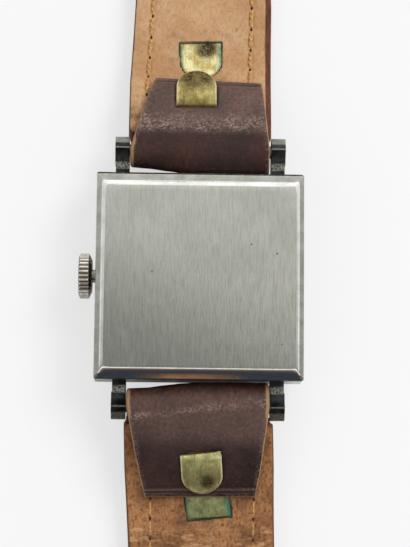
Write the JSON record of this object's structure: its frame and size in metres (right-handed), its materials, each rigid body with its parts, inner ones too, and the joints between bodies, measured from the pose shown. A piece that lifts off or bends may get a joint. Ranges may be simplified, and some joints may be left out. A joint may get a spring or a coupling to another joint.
{
  "type": "square wristwatch",
  "caption": "Square steel wristwatch with wound movement, crown, lugs and a two-piece leather strap, lying on its crystal.",
  "frame": {"origin": "middle of the flat face of the case back", "axes": "+Z out of the back, +Y to twelve o'clock along the strap, crown at -X"},
  "size_m": [0.0287, 0.2068, 0.0332],
  "materials": {
    "back_steel": "brushed, worn",
    "case_steel": "polished, worn",
    "lug_steel": "tarnished",
    "bar_steel": "satin",
    "crown_steel": "knurled",
    "crystal_acrylic": "polished",
    "dial_silver": "satin",
    "marker_steel": "polished",
    "hand_blue": "blued",
    "bridge_nickel": "satin",
    "works_steel": "brushed",
    "screw_blue": "blued",
    "spring_steel": "tempered",
    "wheel_brass": "gilt",
    "jewel_red": "polished",
    "outer_leather": "grained, worn",
    "padding_felt": "felt",
    "lining_leather": "worn",
    "clip_brass": "tarnished",
    "buckle_steel": "polished, worn"
  },
  "bodies": {
    "case": {"case_middle": "case_steel", "bezel": "case_steel", "crystal": "crystal_acrylic", "dial": "dial_silver", "dial_markers": "marker_steel", "crown_tube": "bar_steel", "lugs_12": "lug_steel", "lugs_6": "lug_steel", "lug_bar_12": "bar_steel", "lug_bar_6": "bar_steel", "main_plate": "bridge_nickel", "dial_side_posts": "works_steel", "barrel_bridge": "bridge_nickel", "train_bridge": "bridge_nickel", "balance_cock": "bridge_nickel", "pallet_bridge": "bridge_nickel", "bridge_screws": "screw_blue", "jewels": "jewel_red", "click_spring": "spring_steel"},
    "back": {"case_back": "back_steel"},
    "winding_pinion": {"winding_pinion": "works_steel"},
    "stem_and_crown": {"winding_stem": "works_steel", "crown": "crown_steel"},
    "sliding_pinion": {"sliding_pinion": "works_steel"},
    "setting_lever": {"setting_lever": "works_steel"},
    "yoke": {"yoke": "works_steel"},
    "crown_wheel": {"crown_wheel": "works_steel"},
    "ratchet_and_arbor": {"ratchet_wheel": "works_steel", "barrel_arbor": "works_steel"},
    "click": {"click": "works_steel"},
    "barrel": {"barrel_drum": "wheel_brass", "barrel_lid": "wheel_brass", "mainspring": "spring_steel"},
    "center_wheel": {"center_wheel": "wheel_brass"},
    "third_wheel": {"third_wheel": "wheel_brass"},
    "fourth_wheel": {"fourth_wheel": "wheel_brass", "seconds_hand": "hand_blue"},
    "escape_wheel": {"escape_wheel": "wheel_brass"},
    "pallet_fork": {"pallet_fork": "works_steel"},
    "balance": {"balance_wheel": "wheel_brass", "hairspring": "spring_steel"},
    "regulator": {"regulator": "works_steel"},
    "minute_hand": {"cannon_pinion": "works_steel", "minute_hand": "hand_blue"},
    "minute_wheel": {"minute_wheel": "wheel_brass"},
    "hour_hand": {"hour_wheel": "wheel_brass", "hour_hand": "hand_blue"},
    "strap_12": {"strap_12_outer": "outer_leather", "strap_12_padding": "padding_felt", "strap_12_lining": "lining_leather", "strap_12_clip": "clip_brass", "fixed_keeper": "outer_leather"},
    "free_keeper": {"free_keeper": "outer_leather"},
    "buckle": {"buckle_frame": "buckle_steel", "buckle_bar": "buckle_steel"},
    "tang": {"buckle_tang": "buckle_steel"},
    "strap_6": {"strap_6_outer": "outer_leather", "strap_6_padding": "padding_felt", "strap_6_lining": "lining_leather", "strap_6_clip": "clip_brass"}
  },
  "joints": [
    {"name": "back_lift", "type": "slide", "parent": "case", "child": "back", "axis": [0, 0, 1], "range_m": [0, 0.02]},
    {"name": "crown_turn", "type": "hinge", "parent": "case", "child": "winding_pinion", "pos_m": [0, 0, -0.0038], "axis": [1, 0, 0], "continuous": true},
    {"name": "crown_pull", "type": "slide", "parent": "winding_pinion", "child": "stem_and_crown", "axis": [-1, 0, 0], "range_m": [0, 0.0008]},
    {"name": "clutch_slide", "type": "slide", "parent": "winding_pinion", "child": "sliding_pinion", "axis": [1, 0, 0], "range_m": [0, 0.0008]},
    {"name": "setting_lever_turn", "type": "hinge", "parent": "case", "child": "setting_lever", "pos_m": [-0.0092, -0.0032, -0.0057], "axis": [0, 0, 1], "range_deg": [0, 15]},
    {"name": "yoke_turn", "type": "hinge", "parent": "case", "child": "yoke", "pos_m": [-0.0062, -0.0036, -0.0057], "axis": [0, 0, -1], "range_deg": [0, 13.5]},
    {"name": "crown_wheel_turn", "type": "hinge", "parent": "case", "child": "crown_wheel", "pos_m": [-0.0065, 0, -0.0016], "axis": [0, 0, 1], "continuous": true},
    {"name": "ratchet_turn", "type": "hinge", "parent": "case", "child": "ratchet_and_arbor", "pos_m": [-0.00202, 0.00554, -0.0016], "axis": [0, 0, 1], "continuous": true},
    {"name": "click_turn", "type": "hinge", "parent": "case", "child": "click", "pos_m": [0.0046, 0.0054, -0.0016], "axis": [0, 0, 1], "range_deg": [0, 12]},
    {"name": "seconds_turn", "type": "hinge", "parent": "case", "child": "fourth_wheel", "pos_m": [0, -0.0056, -0.003], "axis": [0, 0, 1], "continuous": true},
    {"name": "third_turn", "type": "hinge", "parent": "case", "child": "third_wheel", "pos_m": [0.00293, -0.00327, -0.003], "axis": [0, 0, 1], "continuous": true},
    {"name": "center_turn", "type": "hinge", "parent": "case", "child": "center_wheel", "pos_m": [0, 0, -0.0035], "axis": [0, 0, 1], "continuous": true},
    {"name": "barrel_turn", "type": "hinge", "parent": "case", "child": "barrel", "pos_m": [-0.00202, 0.00554, -0.003], "axis": [0, 0, 1], "continuous": true},
    {"name": "escape_turn", "type": "hinge", "parent": "case", "child": "escape_wheel", "pos_m": [0.0002, -0.00889, -0.0033], "axis": [0, 0, 1], "continuous": true},
    {"name": "pallet_rock", "type": "hinge", "parent": "case", "child": "pallet_fork", "pos_m": [-0.0019, -0.00754, -0.0033], "axis": [0, 0, 1], "range_deg": [-5, 5]},
    {"name": "balance_swing", "type": "hinge", "parent": "case", "child": "balance", "pos_m": [-0.0052, -0.0054, -0.0023], "axis": [0, 0, 1], "range_deg": [-135, 135], "stiffness_Nm_per_rad": 0.00000009},
    {"name": "regulator_turn", "type": "hinge", "parent": "case", "child": "regulator", "pos_m": [-0.0052, -0.0054, -0.001], "axis": [0, 0, 1], "range_deg": [-12, 12]},
    {"name": "minute_turn", "type": "hinge", "parent": "case", "child": "minute_hand", "pos_m": [0, 0, -0.006], "axis": [0, 0, 1], "continuous": true},
    {"name": "minute_wheel_turn", "type": "hinge", "parent": "case", "child": "minute_wheel", "pos_m": [-0.00282, 0.00103, -0.0054], "axis": [0, 0, 1], "continuous": true},
    {"name": "hour_turn", "type": "hinge", "parent": "case", "child": "hour_hand", "pos_m": [0, 0, -0.006], "axis": [0, 0, 1], "continuous": true},
    {"name": "strap_12_swing", "type": "hinge", "parent": "case", "child": "strap_12", "pos_m": [0, 0.0166, -0.004], "axis": [1, 0, 0], "range_deg": [0, 65]},
    {"name": "free_keeper_slide", "type": "slide", "parent": "strap_12", "child": "free_keeper", "axis": [0, -0.9211, -0.3894], "range_m": [0, 0.009]},
    {"name": "buckle_swing", "type": "hinge", "parent": "strap_12", "child": "buckle", "pos_m": [0, 0.08397, 0.00717], "axis": [1, 0, 0], "range_deg": [0, 100]},
    {"name": "tang_swing", "type": "hinge", "parent": "buckle", "child": "tang", "pos_m": [0, 0.08397, 0.00717], "axis": [-1, 0, 0], "range_deg": [0, 85]},
    {"name": "strap_6_swing", "type": "hinge", "parent": "case", "child": "strap_6", "pos_m": [0, -0.0166, -0.004], "axis": [-1, 0, 0], "range_deg": [0, 65]}
  ],
  "couplings": [
    {"joint": "clutch_slide", "follows": "crown_pull", "ratio": 1},
    {"joint": "setting_lever_turn", "follows": "crown_pull", "rad_per_m": 312.5},
    {"joint": "yoke_turn", "follows": "crown_pull", "rad_per_m": 277.8},
    {"joint": "crown_wheel_turn", "follows": "crown_turn", "ratio": 0.58824},
    {"joint": "ratchet_turn", "follows": "crown_turn", "ratio": -0.38462},
    {"joint": "third_turn", "follows": "seconds_turn", "ratio": -0.13333},
    {"joint": "center_turn", "follows": "seconds_turn", "ratio": 0.016667},
    {"joint": "barrel_turn", "follows": "seconds_turn", "ratio": -0.0022222},
    {"joint": "escape_turn", "follows": "seconds_turn", "ratio": -10},
    {"joint": "minute_wheel_turn", "follows": "minute_turn", "ratio": -0.33333},
    {"joint": "hour_turn", "follows": "minute_turn", "ratio": 0.083333}
  ]
}
